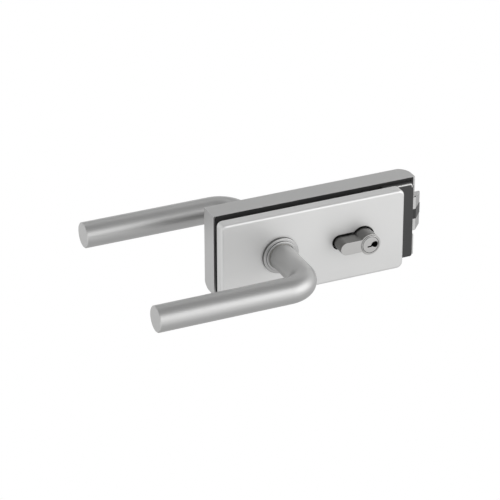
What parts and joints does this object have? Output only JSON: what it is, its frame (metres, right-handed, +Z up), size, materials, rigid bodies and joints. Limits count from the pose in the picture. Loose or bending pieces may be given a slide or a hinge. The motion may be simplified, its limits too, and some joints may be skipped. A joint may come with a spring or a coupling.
{
  "type": "glass door lever lockset",
  "caption": "Lever lockset for a glass door: shallow front cover, deeper rear casing with black lock case, two bent round levers, horizontal profile cylinder, spring latch and deadbolt",
  "frame": {"origin": "On the levers' turning axis, halfway through the door glass.", "axes": "+Z up, +X along the door towards the latch side, +Y from the front cover to the rear casing. The faces of the glass lie at y = -4 mm and y = +4 mm."},
  "size_m": [0.2565, 0.1658, 0.0668],
  "materials": {
    "cover_satin": "satin anodised, fine grain",
    "casing_satin": "satin anodised, fine grain",
    "lever_satin": "satin anodised, bead blasted",
    "cylinder_nickel": "satin nickel plated",
    "latch_metal": "satin nickel plated",
    "steel": "zinc plated",
    "spring": "bright drawn wire",
    "brass_pin": "turned, matt",
    "case_black": "matt black paint",
    "insert_black": "matt",
    "nylon": "matt",
    "seal": "matt"
  },
  "bodies": {
    "lock_body": {"front_cover": "cover_satin", "counter_plate": "steel", "front_seal": "seal", "rear_seal": "seal", "rear_casing": "casing_satin", "lock_case": "case_black", "case_lid": "steel", "nose_plate": "case_black", "forend_plate": "steel", "front_rose": "lever_satin", "rear_rose": "lever_satin", "front_bush": "nylon", "rear_bush": "nylon", "clamp_screws": "steel", "glass_sleeves": "insert_black", "cover_screws": "steel", "casing_screws": "steel", "lid_screws": "steel", "forend_screws": "steel", "cylinder_housing": "cylinder_nickel", "cylinder_screw": "steel", "driver_pins": "brass_pin", "pin_springs": "spring", "follower_spring": "spring", "latch_spring": "spring"},
    "handle": {"front_lever": "lever_satin", "rear_lever": "lever_satin", "spindle": "steel", "follower": "steel", "front_lever_screw": "steel", "rear_lever_screw": "steel", "front_retaining_ring": "steel", "rear_retaining_ring": "steel"},
    "latch": {"latch_head": "latch_metal", "latch_insert": "insert_black", "latch_pin": "insert_black", "latch_tail": "steel", "latch_rivets": "steel"},
    "deadbolt": {"deadbolt": "latch_metal"},
    "front_key": {"front_plug": "cylinder_nickel", "front_key_pins": "brass_pin", "front_plug_ring": "steel", "cam": "steel"},
    "rear_key": {"rear_plug": "cylinder_nickel", "rear_key_pins": "brass_pin", "rear_plug_ring": "steel"}
  },
  "joints": [
    {"name": "lever_turn", "type": "hinge", "parent": "lock_body", "child": "handle", "pos_m": [0, 0, 0], "axis": [0, -1, 0], "range_deg": [0, 36], "stiffness_Nm_per_rad": 0.9, "springref_deg": -20.05, "deforming": ["follower_spring"]},
    {"name": "latch_slide", "type": "slide", "parent": "lock_body", "child": "latch", "axis": [-1, 0, 0], "range_m": [0, 0.0106], "deforming": ["latch_spring"]},
    {"name": "key_turn", "type": "hinge", "parent": "lock_body", "child": "front_key", "pos_m": [0.0692, 0, 0], "axis": [0, -1, 0], "range_deg": [0, 360]},
    {"name": "deadbolt_slide", "type": "slide", "parent": "lock_body", "child": "deadbolt", "axis": [1, 0, 0], "range_m": [0, 0.012]},
    {"name": "rear_plug_turn", "type": "hinge", "parent": "lock_body", "child": "rear_key", "pos_m": [0.0692, 0, 0], "axis": [0, -1, 0], "range_deg": [0, 360]}
  ],
  "couplings": [
    {"joint": "latch_slide", "follows": "lever_turn", "m_per_rad": 0.016711},
    {"joint": "key_turn", "follows": "deadbolt_slide", "rad_per_m": 523.59}
  ]
}
